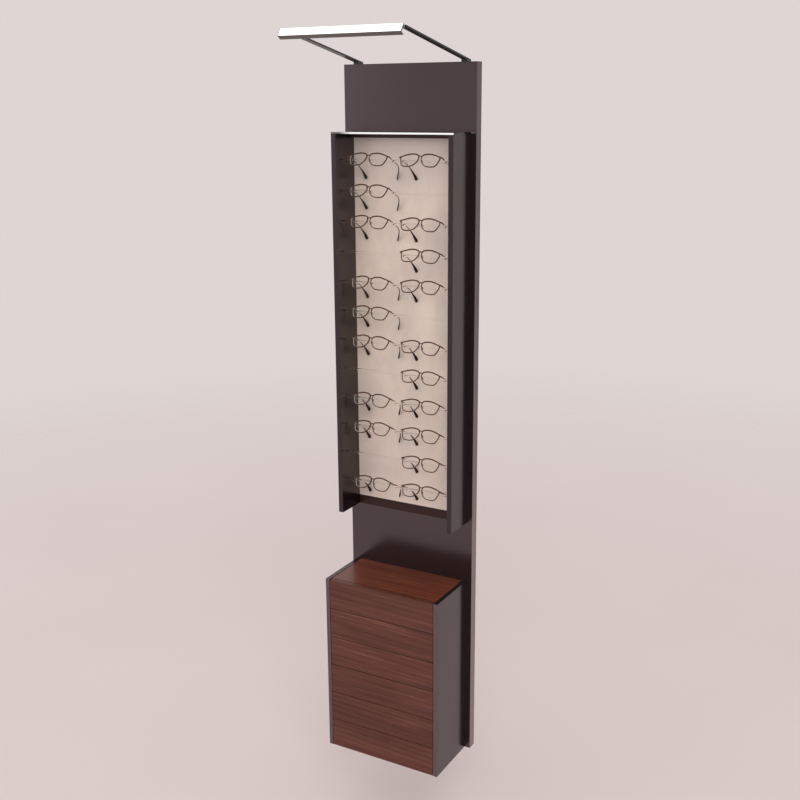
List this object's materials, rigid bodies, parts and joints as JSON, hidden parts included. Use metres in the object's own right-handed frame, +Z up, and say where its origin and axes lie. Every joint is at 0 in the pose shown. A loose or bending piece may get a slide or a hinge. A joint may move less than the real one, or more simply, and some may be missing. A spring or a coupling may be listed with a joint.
{
  "type": "wall display organizer for spectacles",
  "caption": "Tall wall-hung organizer for spectacles: dark back panel, shallow display box with clear rods, walnut drawer cabinet below and a tilting bar lamp above.",
  "frame": {"origin": "on the wall plane (the back face of the panel) at the middle of the panel's lower edge", "axes": "+X to the right seen from the front, +Y into the wall so the organizer stands out towards -Y, +Z up the panel"},
  "size_m": [0.447, 0.4157, 2.2891],
  "materials": {
    "lacquer": "satin dark brown lacquer on board",
    "walnut": "red walnut veneer, satin",
    "runner_wood": "hardwood strip, waxed",
    "box_wood": "birch plywood, oiled",
    "cream_board": "cream satin acrylic-faced sheet",
    "clear_sheet": "clear acrylic sheet",
    "clear_rod": "clear acrylic rod",
    "arm_metal": "black satin powder coat",
    "lamp_metal": "dark grey anodised look",
    "diffuser": "opal diffuser",
    "aluminium": "mill finish extrusion",
    "steel": "zinc plated",
    "driver_case": "moulded",
    "spectacle_frame": "thin dark frame with clear demo lenses"
  },
  "bodies": {
    "organizer": {"back_panel": "lacquer", "wall_cleat": "aluminium", "panel_cleat": "aluminium", "display_board": "cream_board", "cheek_left": "lacquer", "cheek_right": "lacquer", "top_rail": "lacquer", "bottom_rail": "lacquer", "cover_plate": "clear_sheet", "display_rods": "clear_rod", "lamp_arm_left": "arm_metal", "lamp_arm_right": "arm_metal", "lamp_screws": "steel", "lamp_driver": "driver_case", "power_inlet": "driver_case", "cabinet_side_left": "lacquer", "cabinet_side_right": "lacquer", "cabinet_top": "walnut", "cabinet_bottom": "walnut", "drawer_runners": "runner_wood", "push_latches": "driver_case", "panel_screws": "steel", "cleat_screws": "steel"},
    "lamp_head": {"lamp_housing": "lamp_metal", "lamp_diffuser": "diffuser", "lamp_led_board": "aluminium", "lamp_end_caps": "lamp_metal", "lamp_hinge_brackets": "lamp_metal", "lamp_hinge_pins": "steel"},
    "drawer_1": {"drawer_front_1": "walnut", "drawer_box_1": "box_wood"},
    "drawer_2": {"drawer_front_2": "walnut", "drawer_box_2": "box_wood"},
    "drawer_3": {"drawer_front_3": "walnut", "drawer_box_3": "box_wood"},
    "drawer_4": {"drawer_front_4": "walnut", "drawer_box_4": "box_wood"},
    "drawer_5": {"drawer_front_5": "walnut", "drawer_box_5": "box_wood"},
    "drawer_6": {"drawer_front_6": "walnut", "drawer_box_6": "box_wood"},
    "pair_left_01": {"glasses_left_01": "spectacle_frame"},
    "pair_left_02": {"glasses_left_02": "spectacle_frame"},
    "pair_left_03": {"glasses_left_03": "spectacle_frame"},
    "pair_left_05": {"glasses_left_05": "spectacle_frame"},
    "pair_left_06": {"glasses_left_06": "spectacle_frame"},
    "pair_left_07": {"glasses_left_07": "spectacle_frame"},
    "pair_left_09": {"glasses_left_09": "spectacle_frame"},
    "pair_left_10": {"glasses_left_10": "spectacle_frame"},
    "pair_left_12": {"glasses_left_12": "spectacle_frame"},
    "pair_right_01": {"glasses_right_01": "spectacle_frame"},
    "pair_right_03": {"glasses_right_03": "spectacle_frame"},
    "pair_right_04": {"glasses_right_04": "spectacle_frame"},
    "pair_right_05": {"glasses_right_05": "spectacle_frame"},
    "pair_right_07": {"glasses_right_07": "spectacle_frame"},
    "pair_right_08": {"glasses_right_08": "spectacle_frame"},
    "pair_right_09": {"glasses_right_09": "spectacle_frame"},
    "pair_right_10": {"glasses_right_10": "spectacle_frame"},
    "pair_right_11": {"glasses_right_11": "spectacle_frame"},
    "pair_right_12": {"glasses_right_12": "spectacle_frame"}
  },
  "joints": [
    {"name": "lamp_tilt", "type": "hinge", "parent": "organizer", "child": "lamp_head", "pos_m": [0, -0.396, 2.2822], "axis": [1, 0, 0], "range_deg": [-10, 90]},
    {"name": "drawer_1_slide", "type": "slide", "parent": "organizer", "child": "drawer_1", "axis": [0, -1, 0], "range_m": [0, 0.14]},
    {"name": "drawer_2_slide", "type": "slide", "parent": "organizer", "child": "drawer_2", "axis": [0, -1, 0], "range_m": [0, 0.14]},
    {"name": "drawer_3_slide", "type": "slide", "parent": "organizer", "child": "drawer_3", "axis": [0, -1, 0], "range_m": [0, 0.14]},
    {"name": "drawer_4_slide", "type": "slide", "parent": "organizer", "child": "drawer_4", "axis": [0, -1, 0], "range_m": [0, 0.14]},
    {"name": "drawer_5_slide", "type": "slide", "parent": "organizer", "child": "drawer_5", "axis": [0, -1, 0], "range_m": [0, 0.14]},
    {"name": "drawer_6_slide", "type": "slide", "parent": "organizer", "child": "drawer_6", "axis": [0, -1, 0], "range_m": [0, 0.14]},
    {"name": "pair_left_01_lift", "type": "slide", "parent": "organizer", "child": "pair_left_01", "axis": [0, -0.6428, 0.766], "range_m": [0, 0.09]},
    {"name": "pair_left_02_lift", "type": "slide", "parent": "organizer", "child": "pair_left_02", "axis": [0, -0.6428, 0.766], "range_m": [0, 0.09]},
    {"name": "pair_left_03_lift", "type": "slide", "parent": "organizer", "child": "pair_left_03", "axis": [0, -0.6428, 0.766], "range_m": [0, 0.09]},
    {"name": "pair_left_05_lift", "type": "slide", "parent": "organizer", "child": "pair_left_05", "axis": [0, -0.6428, 0.766], "range_m": [0, 0.09]},
    {"name": "pair_left_06_lift", "type": "slide", "parent": "organizer", "child": "pair_left_06", "axis": [0, -0.6428, 0.766], "range_m": [0, 0.09]},
    {"name": "pair_left_07_lift", "type": "slide", "parent": "organizer", "child": "pair_left_07", "axis": [0, -0.6428, 0.766], "range_m": [0, 0.09]},
    {"name": "pair_left_09_lift", "type": "slide", "parent": "organizer", "child": "pair_left_09", "axis": [0, -0.6428, 0.766], "range_m": [0, 0.09]},
    {"name": "pair_left_10_lift", "type": "slide", "parent": "organizer", "child": "pair_left_10", "axis": [0, -0.6428, 0.766], "range_m": [0, 0.09]},
    {"name": "pair_left_12_lift", "type": "slide", "parent": "organizer", "child": "pair_left_12", "axis": [0, -0.6428, 0.766], "range_m": [0, 0.09]},
    {"name": "pair_right_01_lift", "type": "slide", "parent": "organizer", "child": "pair_right_01", "axis": [0, -0.6428, 0.766], "range_m": [0, 0.09]},
    {"name": "pair_right_03_lift", "type": "slide", "parent": "organizer", "child": "pair_right_03", "axis": [0, -0.6428, 0.766], "range_m": [0, 0.09]},
    {"name": "pair_right_04_lift", "type": "slide", "parent": "organizer", "child": "pair_right_04", "axis": [0, -0.6428, 0.766], "range_m": [0, 0.09]},
    {"name": "pair_right_05_lift", "type": "slide", "parent": "organizer", "child": "pair_right_05", "axis": [0, -0.6428, 0.766], "range_m": [0, 0.09]},
    {"name": "pair_right_07_lift", "type": "slide", "parent": "organizer", "child": "pair_right_07", "axis": [0, -0.6428, 0.766], "range_m": [0, 0.09]},
    {"name": "pair_right_08_lift", "type": "slide", "parent": "organizer", "child": "pair_right_08", "axis": [0, -0.6428, 0.766], "range_m": [0, 0.09]},
    {"name": "pair_right_09_lift", "type": "slide", "parent": "organizer", "child": "pair_right_09", "axis": [0, -0.6428, 0.766], "range_m": [0, 0.09]},
    {"name": "pair_right_10_lift", "type": "slide", "parent": "organizer", "child": "pair_right_10", "axis": [0, -0.6428, 0.766], "range_m": [0, 0.09]},
    {"name": "pair_right_11_lift", "type": "slide", "parent": "organizer", "child": "pair_right_11", "axis": [0, -0.6428, 0.766], "range_m": [0, 0.09]},
    {"name": "pair_right_12_lift", "type": "slide", "parent": "organizer", "child": "pair_right_12", "axis": [0, -0.6428, 0.766], "range_m": [0, 0.09]}
  ]
}
